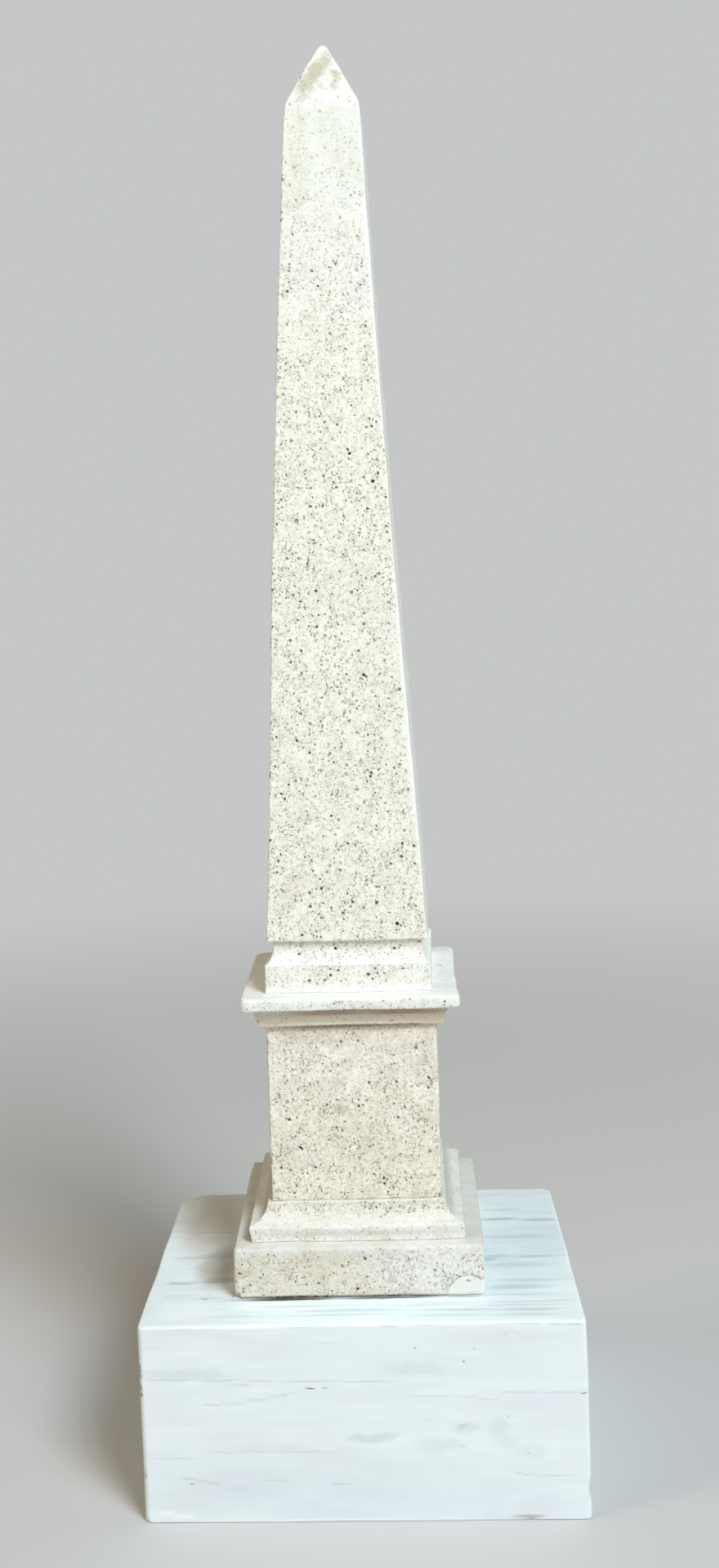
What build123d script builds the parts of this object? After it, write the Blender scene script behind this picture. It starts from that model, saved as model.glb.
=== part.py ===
"""Table obelisk of cast stone, standing on a whitewashed timber block.

The stone is laid in courses on one upright axis: a square plinth, a base moulding, the
pedestal's die, a cornice, a socle with a hollow neck, and the tapered shaft with its
blunt pyramid. One lower corner of the plinth was broken off and made good with filler.

Millimetres, +Z up, front towards -Y. The origin is the middle of the block's underside.
"""

import os

from build123d import *

# Timber block, with its grain along X
block_width = 194.5
block_depth = 153.0
block_height = 89.0
block_front_corner = 2.5
block_back_left_corner = 14.0
block_back_right_corner = 4.0
block_top_arris = 2.0
block_foot_arris = 1.0

# The obelisk's axis, measured from the middle of the block
axis_right = -1.9
axis_back = 5.6

# Plinth, which stands out past the base moulding
plinth_ledge = 7.05
plinth_height = 23.3
plinth_upright_arris = 1.5
plinth_top_arris = 1.6

# Scoop broken out of the plinth's lower front right corner, now filled
scoop_radius = 10.5
scoop_in_from_side = 5.5
scoop_in_from_front = 4.0

# Base moulding: a plain fillet below, a cavetto above, and a ledge round the die's foot
moulding_fillet_height = 7.4
moulding_cavetto = 8.2
moulding_ledge = 1.85
moulding_lip = 1.7

# Die, a little narrower at its head
die_foot_width = 77.6
die_head_width = 76.9
die_height = 81.4
die_arris = 0.8

# Cornice: a hollow bed moulding under a round-nosed slab
bed_height = 9.3
bed_foot_fillet = 1.8
bed_foot_projection = 2.85
bed_hollow_projection = 3.0
bed_hollow_radius = 14.0
slab_overhang = 4.35
slab_thickness = 5.6
slab_corner = 4.0
slab_top_arris = 2.2
slab_foot_arris = 0.8

# Socle, and the scotia that is cut round its neck
socle_width = 74.6
socle_height = 12.7
neck_height = 10.4
neck_foot_ledge = 0.5
neck_waist_height = 6.7
neck_waist_depth = 0.45

# Shaft, cut to a pyramid with a blunt tip
shaft_foot_width = 72.3
shaft_foot_overhang = 2.5
shaft_shoulder_width = 33.0
shaft_height = 366.7
shaft_arris = 0.7
pyramid_height = 29.0
tip_width = 2.6

# Half widths, worked out from the die, the socle and the shaft
moulding_half_head = die_foot_width / 2 + moulding_ledge
moulding_half_foot = moulding_half_head + moulding_cavetto
plinth_width = 2 * (moulding_half_foot + plinth_ledge)
bed_half_foot = die_head_width / 2 + bed_foot_projection
bed_half_head = bed_half_foot + bed_hollow_projection
slab_width = 2 * (bed_half_head + slab_overhang)
socle_half = socle_width / 2
neck_half_foot = socle_half - neck_foot_ledge
neck_half_head = shaft_foot_width / 2 - shaft_foot_overhang
neck_half_waist = neck_half_head - neck_waist_depth

# Bed levels, worked out from the courses
plinth_foot = block_height
moulding_foot = plinth_foot + plinth_height
moulding_height = moulding_fillet_height + moulding_cavetto
die_foot = moulding_foot + moulding_height
cornice_foot = die_foot + die_height
slab_foot = cornice_foot + bed_height
socle_foot = slab_foot + slab_thickness
neck_foot = socle_foot + socle_height
shaft_foot = neck_foot + neck_height
shaft_shoulder = shaft_foot + shaft_height
tip = shaft_shoulder + pyramid_height


def bed(height):
    """The level plane at this height, centred on the obelisk's axis."""
    return Plane(origin=(axis_right, axis_back, height))


def runs(height):
    """Two upright planes on the axis, standing on a bed: one seen from the front, one from the side.

    An outline pushed through the first and then cut by the same outline pushed through the
    second leaves a square course whose mouldings meet in mitred corners.
    """
    origin = (axis_right, axis_back, height)
    from_front = Plane(origin=origin, x_dir=(1, 0, 0), z_dir=(0, -1, 0))
    from_side = Plane(origin=origin, x_dir=(0, 1, 0), z_dir=(1, 0, 0))
    return ((from_front, Mode.ADD), (from_side, Mode.INTERSECT))


# Timber block: square sawn, one back corner waned, every arris worn round
with BuildPart() as timber_block:
    with BuildSketch():
        Rectangle(block_width, block_depth)
    extrude(amount=block_height)
    uprights = timber_block.edges().filter_by(Axis.Z)
    back_uprights = uprights.group_by(Axis.Y)[-1].sort_by(Axis.X)
    fillet(uprights.group_by(Axis.Y)[0], block_front_corner)
    fillet(back_uprights[0], block_back_left_corner)
    fillet(back_uprights[1], block_back_right_corner)
    fillet(timber_block.edges().group_by(Axis.Z)[-1], block_top_arris)
    fillet(timber_block.edges().group_by(Axis.Z)[0], block_foot_arris)


# Plinth as it was before the corner broke off; the filler was struck off flush with it
with BuildPart() as whole_plinth:
    with BuildSketch(bed(plinth_foot)):
        Rectangle(plinth_width, plinth_width)
    extrude(amount=plinth_height)
    fillet(whole_plinth.edges().filter_by(Axis.Z), plinth_upright_arris)
    fillet(whole_plinth.edges().group_by(Axis.Z)[-1], plinth_top_arris)

scoop_centre = (
    axis_right + plinth_width / 2 - scoop_in_from_side,
    axis_back - plinth_width / 2 + scoop_in_from_front,
    plinth_foot,
)

with BuildPart() as plinth:
    add(whole_plinth.part)
    with Locations(scoop_centre):
        Sphere(scoop_radius, mode=Mode.SUBTRACT)

with BuildPart() as corner_repair:
    add(whole_plinth.part)
    with Locations(scoop_centre):
        Sphere(scoop_radius, mode=Mode.INTERSECT)


# Base moulding: a fillet with a rounded lip, and a quarter hollow up to the die's bed
with BuildSketch() as base_moulding_outline:
    with BuildLine():
        Line((-moulding_half_foot, 0), (moulding_half_foot, 0))
        for side in (-1, 1):
            rise = Line((side * moulding_half_foot, 0), (side * moulding_half_foot, moulding_fillet_height))
            RadiusArc(rise @ 1, (side * moulding_half_head, moulding_height), side * moulding_cavetto)
        Line((-moulding_half_head, moulding_height), (moulding_half_head, moulding_height))
    make_face()
    lips = base_moulding_outline.vertices().group_by(Axis.X)
    fillet([lips[0].sort_by(Axis.Y)[-1], lips[-1].sort_by(Axis.Y)[-1]], moulding_lip)

with BuildPart() as base_moulding:
    for upright, way in runs(moulding_foot):
        with BuildSketch(upright):
            add(base_moulding_outline.sketch)
        extrude(amount=moulding_half_foot, both=True, mode=way)


# Die: the plain square shaft of the pedestal, with its upright and foot arrises rubbed down
with BuildPart() as die:
    with BuildSketch(bed(die_foot)):
        Rectangle(die_foot_width, die_foot_width)
    with BuildSketch(bed(cornice_foot)):
        Rectangle(die_head_width, die_head_width)
    loft()
    die_uprights = die.edges().filter_by(Plane.XY, reverse=True)
    chamfer(die_uprights + die.edges().group_by(Axis.Z)[0], die_arris)


# Cornice: the hollow bed moulding that carries the slab
with BuildSketch() as bed_moulding_outline:
    with BuildLine():
        Line((-bed_half_foot, 0), (bed_half_foot, 0))
        for side in (-1, 1):
            rise = Line((side * bed_half_foot, 0), (side * bed_half_foot, bed_foot_fillet))
            RadiusArc(rise @ 1, (side * bed_half_head, bed_height), side * bed_hollow_radius)
        Line((-bed_half_head, bed_height), (bed_half_head, bed_height))
    make_face()

with BuildPart() as cornice:
    for upright, way in runs(cornice_foot):
        with BuildSketch(upright):
            add(bed_moulding_outline.sketch)
        extrude(amount=bed_half_head, both=True, mode=way)
    with BuildSketch(bed(slab_foot)):
        RectangleRounded(slab_width, slab_width, slab_corner)
    extrude(amount=slab_thickness)
    slab_faces = cornice.faces().filter_by(Axis.Z).sort_by(Axis.Z)
    fillet(slab_faces[-1].edges(), slab_top_arris)
    slab_soffit = cornice.faces().filter_by(Axis.Z).sort_by(Axis.Z)[1]
    fillet(slab_soffit.outer_wire().edges(), slab_foot_arris)


# Socle: a plain block, then the scotia as one arc through its waist
neck_top = socle_height + neck_height

with BuildSketch() as socle_outline:
    with BuildLine():
        Line((-socle_half, 0), (socle_half, 0))
        for side in (-1, 1):
            Line((side * socle_half, 0), (side * socle_half, socle_height))
            Line((side * socle_half, socle_height), (side * neck_half_foot, socle_height))
            ThreePointArc(
                (side * neck_half_foot, socle_height),
                (side * neck_half_waist, socle_height + neck_waist_height),
                (side * neck_half_head, neck_top),
            )
        Line((-neck_half_head, neck_top), (neck_half_head, neck_top))
    make_face()

with BuildPart() as socle:
    for upright, way in runs(socle_foot):
        with BuildSketch(upright):
            add(socle_outline.sketch)
        extrude(amount=socle_half, both=True, mode=way)


# Shaft: a long even taper to the shoulder, then the pyramid, with all raking arrises rubbed down
with BuildPart() as shaft:
    with BuildSketch(bed(shaft_foot)):
        Rectangle(shaft_foot_width, shaft_foot_width)
    with BuildSketch(bed(shaft_shoulder)):
        Rectangle(shaft_shoulder_width, shaft_shoulder_width)
    loft()
    with BuildSketch(bed(shaft_shoulder)):
        Rectangle(shaft_shoulder_width, shaft_shoulder_width)
    with BuildSketch(bed(tip)):
        Rectangle(tip_width, tip_width)
    loft()
    chamfer(shaft.edges().filter_by(Plane.XY, reverse=True), shaft_arris)


os.makedirs("parts", exist_ok=True)
pieces = {
    "timber_block": timber_block,
    "plinth": plinth,
    "corner_repair": corner_repair,
    "base_moulding": base_moulding,
    "die": die,
    "cornice": cornice,
    "socle": socle,
    "shaft": shaft,
}
for name, piece in pieces.items():
    piece.part.label = name
    export_step(piece.part, f"parts/{name}.step")
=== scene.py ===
# %% [markdown]
# # An ornamental obelisk of cast stone on a block of whitewashed timber
#
# The real thing is about 55 cm of speckled cream stone, laid up from a few cast courses: a square
# plinth, a moulding, the pedestal's die, a cornice, a socle and a long tapered shaft. It stands on
# an offcut of sawn softwood with a thin coat of white paint.
#
# The construction model gives every piece's place and size. This lesson gives the pieces their
# worn shapes and their finishes. Lengths are in millimetres, and turn to metres at the last step.

# %% Load the construction model
from math import cos, pi, radians, sin

import bpy
import numpy as np
from mathutils import Matrix, Vector


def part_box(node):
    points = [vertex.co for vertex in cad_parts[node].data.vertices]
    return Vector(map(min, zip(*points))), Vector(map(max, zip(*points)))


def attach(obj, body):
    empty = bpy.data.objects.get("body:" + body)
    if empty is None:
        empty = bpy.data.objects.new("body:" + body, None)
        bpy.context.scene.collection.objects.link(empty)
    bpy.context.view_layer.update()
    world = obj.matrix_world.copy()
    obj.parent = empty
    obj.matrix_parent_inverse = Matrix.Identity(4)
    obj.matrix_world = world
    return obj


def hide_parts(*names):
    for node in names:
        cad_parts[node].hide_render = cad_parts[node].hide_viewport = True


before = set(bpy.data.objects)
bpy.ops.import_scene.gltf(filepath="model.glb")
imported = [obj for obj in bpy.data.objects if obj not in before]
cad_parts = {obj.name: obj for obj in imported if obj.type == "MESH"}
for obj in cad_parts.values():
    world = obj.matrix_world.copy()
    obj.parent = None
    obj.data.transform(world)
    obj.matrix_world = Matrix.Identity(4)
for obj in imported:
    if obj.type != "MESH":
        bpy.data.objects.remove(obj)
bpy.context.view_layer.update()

mm = 0.001


def span(node):
    """The lowest and highest corner of one CAD piece, in millimetres, as two arrays."""
    low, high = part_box(node)
    return np.array(low) / mm, np.array(high) / mm


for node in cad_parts:
    low, high = span(node)
    print(f"{node:16s} {(high - low).round(1)} mm")

# %% [markdown]
# ## The camera
#
# A picture of a tall thing taken from close by has strong perspective: the block's top shows, and
# the uprights lean together towards the foot. The camera stands where the photograph's camera
# stood, about 0.7 m away and a little above the cornice. Its place, turn and focal length were
# worked out from the corners of the block and the courses.
#
# Three turns aim it, one after the other: about the upright axis, then down, then a small roll
# about the line of sight.

# %% Camera
photo_height_px = 1919
focal_px = 1901.7
sensor_mm = 36.0
camera_place = (28.0, -714.65, 395.97)
camera_turn = radians(1.91)
camera_dip = radians(6.50)
camera_roll = radians(-1.82)

camera_data = bpy.data.cameras.new("camera")
camera_data.sensor_width = sensor_mm
camera_data.lens = focal_px / photo_height_px * sensor_mm
camera = bpy.data.objects.new("camera", camera_data)
camera.matrix_world = (
    Matrix.Translation(Vector(camera_place) * mm)
    @ Matrix.Rotation(camera_turn, 4, "Z")
    @ Matrix.Rotation(pi / 2 - camera_dip, 4, "X")
    @ Matrix.Rotation(camera_roll, 4, "Z")
)
bpy.context.collection.objects.link(camera)
bpy.context.scene.camera = camera
bpy.context.scene.view_settings.view_transform = "Standard"
print(f"lens {camera_data.lens:.2f} mm")

# %% [markdown]
# ## Colours and nodes
#
# A colour picked on a screen is an sRGB hex value. Blender's shaders count light, so each one is
# turned to linear light first, by one function.
#
# A material is a small tree of nodes. One helper adds a node, sets its options and fills its
# sockets, either with a value or with a link from another node. Most finishes are built up like
# paint, one coat over another, and many coats are patchy, so those two steps have names too.

# %% Helpers for materials
def linear(hex_colour):
    """An sRGB hex colour as linear red, green, blue and alpha: the curve's foot is a straight line,
    and above it each channel is raised to the power 2.4."""
    channels = [int(hex_colour[i:i + 2], 16) / 255 for i in (1, 3, 5)]
    light = [c / 12.92 if c <= 0.04045 else ((c + 0.055) / 1.055) ** 2.4 for c in channels]
    return (*light, 1.0)


def add(tree, kind, inputs=None, **options):
    """Adds one shader node with its options, and fills its sockets.

    Each gets a value, or a link from a socket, or from the first socket of another node."""
    node = tree.nodes.new("ShaderNode" + kind)
    for name, value in options.items():
        setattr(node, name, value)
    for name, value in (inputs or {}).items():
        if isinstance(value, bpy.types.Node):
            value = value.outputs[0]
        if isinstance(value, bpy.types.NodeSocket):
            tree.links.new(value, node.inputs[name])
        else:
            node.inputs[name].default_value = value
    return node


def new_material(name):
    """An empty node material, with its tree."""
    material = bpy.data.materials.new(name)
    material.use_nodes = True
    tree = material.node_tree
    tree.nodes.clear()
    return material, tree


def coat(tree, under, amount, hex_colour):
    """The colour under, after a coat of the hex colour: amount 0 leaves it, amount 1 hides it."""
    return add(tree, "Mix", {0: amount, 6: under, 7: linear(hex_colour)}, data_type="RGBA").outputs[2]


def patches(tree, place, grain, low, high, most, least=0.0, **detail):
    """Random soft patches: least where a noise as coarse as grain is under low, most over high."""
    noise = add(tree, "TexNoise", {"Vector": place, "Scale": 1 / grain, **detail})
    ramp = {"Value": noise, "From Min": low, "From Max": high, "To Min": least, "To Max": most}
    return add(tree, "MapRange", ramp)


def surface(tree, colour, relief, strength, depth, roughness):
    """Ends a material: its colour and roughness, and a fine relief, depth high in millimetres."""
    bump = add(tree, "Bump", {"Height": relief, "Strength": strength, "Distance": depth * mm})
    shader = add(tree, "BsdfPrincipled", {"Base Color": colour, "Roughness": roughness, "Normal": bump})
    add(tree, "OutputMaterial", {"Surface": shader})


# %% [markdown]
# ## Floor and light
#
# The floor is a plain pale sheet of paper that fades, far out, into a pale grey background, so
# no horizon line cuts the picture and every side view has the same ground.
#
# The light follows the photograph: a soft lamp above the camera's right shoulder, a bluish one
# like the sky, higher and further to the right, and a weak warm fill from the left and from all
# round. The strong lamps stand at the right, so the shade lies to the left and is warm.

# %% Floor
floor_radius = 4000.0
floor_fade_start = 450.0
floor_fade_end = 1500.0
background_colour = linear("#c6c8c8")

angle = np.linspace(0, 2 * pi, 96, endpoint=False)
rim = np.column_stack([floor_radius * np.cos(angle), floor_radius * np.sin(angle), 0 * angle]) * mm
floor_mesh = bpy.data.meshes.new("floor")
floor_mesh.from_pydata(rim.tolist(), [], [list(range(len(rim)))])
floor = bpy.data.objects.new("floor", floor_mesh)
bpy.context.collection.objects.link(floor)

paper, tree = new_material("matt_paper_floor")
place = add(tree, "TexCoord").outputs["Object"]
distance = add(tree, "VectorMath", {0: place}, operation="LENGTH").outputs["Value"]
fade = add(tree, "MapRange", {
    "Value": distance, "From Min": floor_fade_start * mm, "From Max": floor_fade_end * mm,
}, interpolation_type="SMOOTHSTEP")
matt = add(tree, "BsdfPrincipled", {
    "Base Color": linear("#cccbc8"), "Roughness": 0.9, "Specular IOR Level": 0.1,
})
glow = add(tree, "Emission", {"Color": background_colour, "Strength": 1.0})
# Only the camera sees the glow: for every other ray the floor is plain paper.
camera_ray = add(tree, "LightPath").outputs["Is Camera Ray"]
fade = add(tree, "Math", {0: fade, 1: camera_ray}, operation="MULTIPLY")
mixed = add(tree, "MixShader", {0: fade, 1: matt, 2: glow})
add(tree, "OutputMaterial", {"Surface": mixed})
floor_mesh.materials.append(paper)
print(f"the floor is {2 * floor_radius * mm:.0f} m across")

# %% Light from all round, and background
world = bpy.data.worlds.new("surroundings")
bpy.context.scene.world = world
world.use_nodes = True
tree = world.node_tree
tree.nodes.clear()
rays = add(tree, "LightPath").outputs
seen = add(tree, "Math", {0: rays["Is Camera Ray"], 1: rays["Is Transmission Ray"]}, operation="MAXIMUM")
ambient = add(tree, "Background", {"Color": linear("#fff2de"), "Strength": 0.25})
backdrop = add(tree, "Background", {"Color": background_colour, "Strength": 1.0})
mixed = add(tree, "MixShader", {0: seen, 1: ambient, 2: backdrop})
add(tree, "OutputWorld", {"Surface": mixed})
print(f"{world.name}: {len(tree.nodes)} nodes")

# %% Lamps
lamp_distance = 4000.0
lamp_width = 1300.0
lit_middle = np.array([0.0, 0.0, 280.0])


def soft_lamp(name, right, above, level, colour):
    """A square area lamp that faces the object from right and above the front, in degrees.

    level 1 lights a surface that faces the lamp so that its colour renders as written: the lamp's
    watts are pi squared times its distance squared."""
    data = bpy.data.lights.new(name, "AREA")
    data.shape = "SQUARE"
    data.size = lamp_width * mm
    data.energy = level * pi ** 2 * (lamp_distance * mm) ** 2
    data.color = linear(colour)[:3]
    turn, rise = radians(right), radians(above)
    bearing = Vector((cos(rise) * sin(turn), -cos(rise) * cos(turn), sin(rise)))
    aim = (-bearing).to_track_quat("-Z", "Y").to_matrix().to_4x4()
    lamp = bpy.data.objects.new(name, data)
    lamp.matrix_world = Matrix.Translation(Vector(lit_middle * mm) + bearing * lamp_distance * mm) @ aim
    bpy.context.collection.objects.link(lamp)
    print(f"{name}: {data.energy:.0f} W")


soft_lamp("main_lamp", right=32.0, above=36.0, level=0.64, colour="#fff4f0")
soft_lamp("sky_lamp", right=40.0, above=50.0, level=0.52, colour="#b4e2ff")
soft_lamp("fill", right=-70.0, above=35.0, level=0.22, colour="#fff2de")

# %% [markdown]
# ## A smooth random field
#
# No cast or handled surface is exactly flat. A gentle unevenness comes from adding many sine
# waves that run in random directions: each wave is smooth, and the sum has no pattern to the
# eye. The field depends on the place in space only, so two courses that touch are moved in the
# same way and stay in contact. The random numbers have a fixed seed, so each run is the same.

# %% Wander
largest_likely = 1.6


def wander(points, grain, seed, waves=24):
    """A smooth random number, mostly between -1 and 1, for each point.

    It is the sum of sine waves, each in a random direction with a length near grain, divided by
    the square root of half their number, and by the largest value that is then likely."""
    random = np.random.default_rng(seed)
    direction = random.normal(size=(waves, 3))
    direction /= np.linalg.norm(direction, axis=1, keepdims=True)
    pitch = grain * random.uniform(0.7, 1.6, waves)
    phase = random.uniform(0, 2 * pi, waves)
    total = np.zeros(points.shape[:-1])
    for turn, length, start in zip(direction, pitch, phase):
        total += np.sin(points @ turn * (2 * pi / length) + start)
    return total / np.sqrt(waves / 2) / largest_likely


def unevenness(points, grain, depth, seed):
    """Moves each point by a small smooth vector: three independent wanders, one for each axis."""
    shift = np.stack([wander(points, grain, seed + axis) for axis in range(3)], axis=-1)
    return points + depth * shift


def out_of_square(points, half, moves):
    """Moves each corner of a piece sideways by its own number, and the rest in proportion.

    moves are for the front left, front right, back right and back left. The move at a point is the
    mean of the four, weighted by how near the point is to each corner."""
    right = np.clip((points[..., 0] / half[0] + 1) / 2, 0, 1)
    back = np.clip((points[..., 1] / half[1] + 1) / 2, 0, 1)
    front_move = moves[0] + (moves[1] - moves[0]) * right
    back_move = moves[3] + (moves[2] - moves[3]) * right
    moved = points.copy()
    moved[..., 0] += front_move + (back_move - front_move) * back
    return moved


# %% [markdown]
# ## A profile carried round a square
#
# Each course is one moulding outline that runs round a square. A cube with bevels could be pushed
# into that shape, but the mouldings and their worn arrises are easier to see as a formula: a row
# of points round a rounded square, repeated for each step of the outline.
#
# The path keeps two arrays. The station says where on the sides a point is, from -1 to 1. The
# outward direction says which way it faces. A ring of any size and any corner radius is then the
# station times (half width less radius), plus the outward direction times the radius.

# %% The square path
side_steps = 72
corner_steps = 7
crowding = 0.45


def square_path(side_steps, corner_steps):
    """The station and the outward direction of each point on one trip round a square.

    The trip starts at the front left corner and runs anticlockwise seen from above. Even steps
    are mixed with a sine by the share crowding, so stations lie closer near the corners, where
    the wear is. At each corner the station waits while the direction turns by a right angle."""
    even = np.linspace(-1, 1, side_steps + 1)
    along = (1 - crowding) * even + crowding * np.sin(even * pi / 2)
    turn = np.linspace(0, pi / 2, corner_steps + 2)[1:-1]
    station = np.column_stack([np.append(along, np.ones_like(turn)), -np.ones(len(along) + len(turn))])
    outward = np.column_stack([
        np.append(np.zeros_like(along), np.sin(turn)),
        np.append(-np.ones_like(along), -np.cos(turn)),
    ])
    quarter = np.array([[0, 1], [-1, 0]])
    turns = [np.linalg.matrix_power(quarter, k) for k in range(4)]
    return np.vstack([station @ t for t in turns]), np.vstack([outward @ t for t in turns])


station, outward = square_path(side_steps, corner_steps)
print(f"{len(station)} points round each course")


def carry_round(half_widths, heights, corners):
    """A grid of points, one ring for each row of the outline.

    half_widths is (rows, 2), for x and y. corners is the corner radius, (rows, columns)."""
    corners = np.minimum(corners, half_widths.min(axis=1, keepdims=True))[..., None]
    plan = station * (half_widths[:, None, :] - corners) + outward * corners
    level = np.broadcast_to(heights[:, None, None], plan.shape[:2] + (1,))
    return np.concatenate([plan, level], axis=-1)


def round_corners(radii):
    """A number for each column, from one for each corner: front left and right, back right and left."""
    quarters = np.arange(5) * len(station) / 4
    return np.interp(np.arange(len(station)), quarters, [*radii, radii[0]])


# %% [markdown]
# ## A worn outline
#
# The outline of a moulding is a few straight lines and arcs. Handling rubs its corners down. To
# draw that, the outline is sampled and every point is replaced by the average of its neighbours
# along the line. Where the line is straight this changes nothing, and at a corner it rounds it.
# Each corner names its own wear, the length that is averaged over.

# %% Wear
fine_step = 0.12
least_step = 0.07


def worn_outline(corners, coarse=2.0):
    """Samples an outline and rounds its corners.

    Each row of corners is (half width, height, corner radius in plan, wear). A point at distance
    s along the line becomes the mean of the line round it, weighted by a bell curve as wide as
    the wear there. Points lie close together near a corner and up to coarse apart elsewhere."""
    corners = np.asarray(corners, float)
    steps = np.linalg.norm(np.diff(corners[:, :2], axis=0), axis=1)
    at = np.concatenate([[0], np.cumsum(steps)])
    fine = np.linspace(0, at[-1], int(at[-1] / fine_step) + 2)
    line = np.column_stack([np.interp(fine, at, corners[:, k]) for k in range(3)])
    near = np.linspace(-3.0, 3.0, 11)
    stops = (at[1:-1, None] + corners[1:-1, 3:4] * near).ravel()
    stops = np.concatenate([np.linspace(0, at[-1], int(at[-1] / coarse) + 2), stops])
    stops = np.unique(np.clip(stops, 0, at[-1]).round(3))
    stops = stops[np.append(True, np.diff(stops) > least_step)]
    stops[-1] = at[-1]
    nearest = np.argmin(np.abs(stops[:, None] - at[None, 1:-1]), axis=1)
    wear = corners[1:-1, 3][nearest]
    weight = np.exp(-((stops[:, None] - fine[None, :]) / wear[:, None]) ** 2 / 2)
    weight /= weight.sum(axis=1, keepdims=True)
    worn = weight @ line
    worn[[0, -1]] = line[[0, -1]]
    return worn


# %% [markdown]
# ## From a grid to a closed skin
#
# A grid of points becomes a mesh by joining each point to the next in its row and its column.
# The columns run all the way round, so the last is joined to the first. The first and last rows
# have shrunk to the axis, so each becomes one point with a fan of triangles: the skin is closed.

# %% Skin
def skin(name, grid):
    """Makes a closed mesh from a (rows, columns, 3) grid in millimetres, faces outwards."""
    rows, columns = grid.shape[:2]
    rings = grid[1:-1].reshape(-1, 3)
    points = np.vstack([rings, grid[0].mean(axis=0), grid[-1].mean(axis=0)]) * mm
    column = np.arange(columns)
    after = (column + 1) % columns
    ring = np.arange(rows - 3)[:, None] * columns
    corners = [ring + column, ring + after, ring + columns + after, ring + columns + column]
    quads = np.stack(corners, axis=-1).reshape(-1, 4)
    foot, head = len(points) - 2, len(points) - 1
    last = (rows - 3) * columns
    foot_fan = np.stack([after, column, np.full(columns, foot)], axis=-1)
    head_fan = np.stack([last + column, last + after, np.full(columns, head)], axis=-1)
    mesh = bpy.data.meshes.new(name)
    mesh.from_pydata(points, [], quads.tolist() + foot_fan.tolist() + head_fan.tolist())
    mesh.shade_smooth()
    piece = bpy.data.objects.new(name, mesh)
    bpy.context.collection.objects.link(piece)
    return piece


def hand_over(piece, node, material):
    """Puts the piece on the object's one body in place of its CAD node, with its finish."""
    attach(piece, "root")
    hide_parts(node)
    piece.data.materials.clear()
    piece.data.materials.append(material)
    corners = np.array([v.co for v in piece.data.vertices]) / mm
    print(f"{piece.name}: {len(piece.data.polygons)} faces, {np.ptp(corners, axis=0).round(1)} mm")


# %% [markdown]
# ## Damage
#
# Stone breaks in small shells. A chip could be cut with a Boolean, but here it is a bite: a ball
# pressed in from outside, with every point inside the ball moved out to its surface. Most chips
# sit on the arrises, where things knock, so they are strewn there by chance, with a fixed seed.

# %% Bites and chips
chips_on_uprights = 0.45
chip_radii = (0.9, 2.6)
shallowest_chip = 0.4


def bite(points, centre, radius):
    """Moves each point that is inside the ball straight out from its centre to its surface."""
    away = points - np.asarray(centre)
    distance = np.linalg.norm(away, axis=-1, keepdims=True)
    pushed = np.asarray(centre) + away * (radius / np.maximum(distance, 1e-6))
    return np.where(distance < radius, pushed, points)


def chip_arrises(points, squares, count, seed, deepest=0.95):
    """Bites the arrises of a course at random places.

    squares lists the course's sharp rings as (half width, height). A chip lies on a ring or on an
    upright between two rings. Its ball's centre lies outside the arris, along the line that
    halves it, by the ball's radius less the depth."""
    random = np.random.default_rng(seed)
    squares = np.asarray(squares, float)
    quarter = np.array([[0, 1, 0], [-1, 0, 0], [0, 0, 1]])
    for _ in range(count):
        ring = random.integers(len(squares))
        half, height = squares[ring]
        along = random.uniform(-1, 1)
        up = 1 if ring == len(squares) - 1 else -1
        place, out = np.array([along * half, -half, height]), np.array([0, -1, up])
        if random.random() < chips_on_uprights:
            half, height = squares[0] + (squares[-1] - squares[0]) * random.random()
            place, out = np.array([half, -half, height]), np.array([1, -1, 0])
        side = np.linalg.matrix_power(quarter, random.integers(4))
        radius = random.uniform(*chip_radii)
        depth = random.uniform(shallowest_chip, deepest)
        centre = place + out / np.linalg.norm(out) * (radius - depth)
        points = bite(points, centre @ side, radius)
    return points


# %% [markdown]
# ## Marks put there one by one
#
# Some marks are not chance: a brown stain, a crack in the paint, a line of dark summer wood. They
# could be painted on a picture that is wrapped round the object. Here each one is written down as
# a few points that a brush would pass through, and the material works out how near the brush a
# place is. The brush is a long thin ellipsoid that lies along the line and fades towards its rim.

# %% Strokes
brush_overlap = 0.65
# A stroke that rises or runs by less than this share of its half width counts as level or upright.
straight_enough = 0.6
# A crack's step down, in half widths, and the slope from which it is one upright stroke.
step_down = 1.4
steep_slope = 3


def stroke_parts(rows):
    """Goes through the straight parts of strokes: half width, strength, start and end of each.

    Each row is half width, strength, and then the coordinates of the points, one after another."""
    for width, strength, *numbers in rows:
        points = np.reshape(numbers, (-1, 2)).astype(float)
        for start, end in zip(points, points[1:]):
            yield width, strength, start, end


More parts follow.
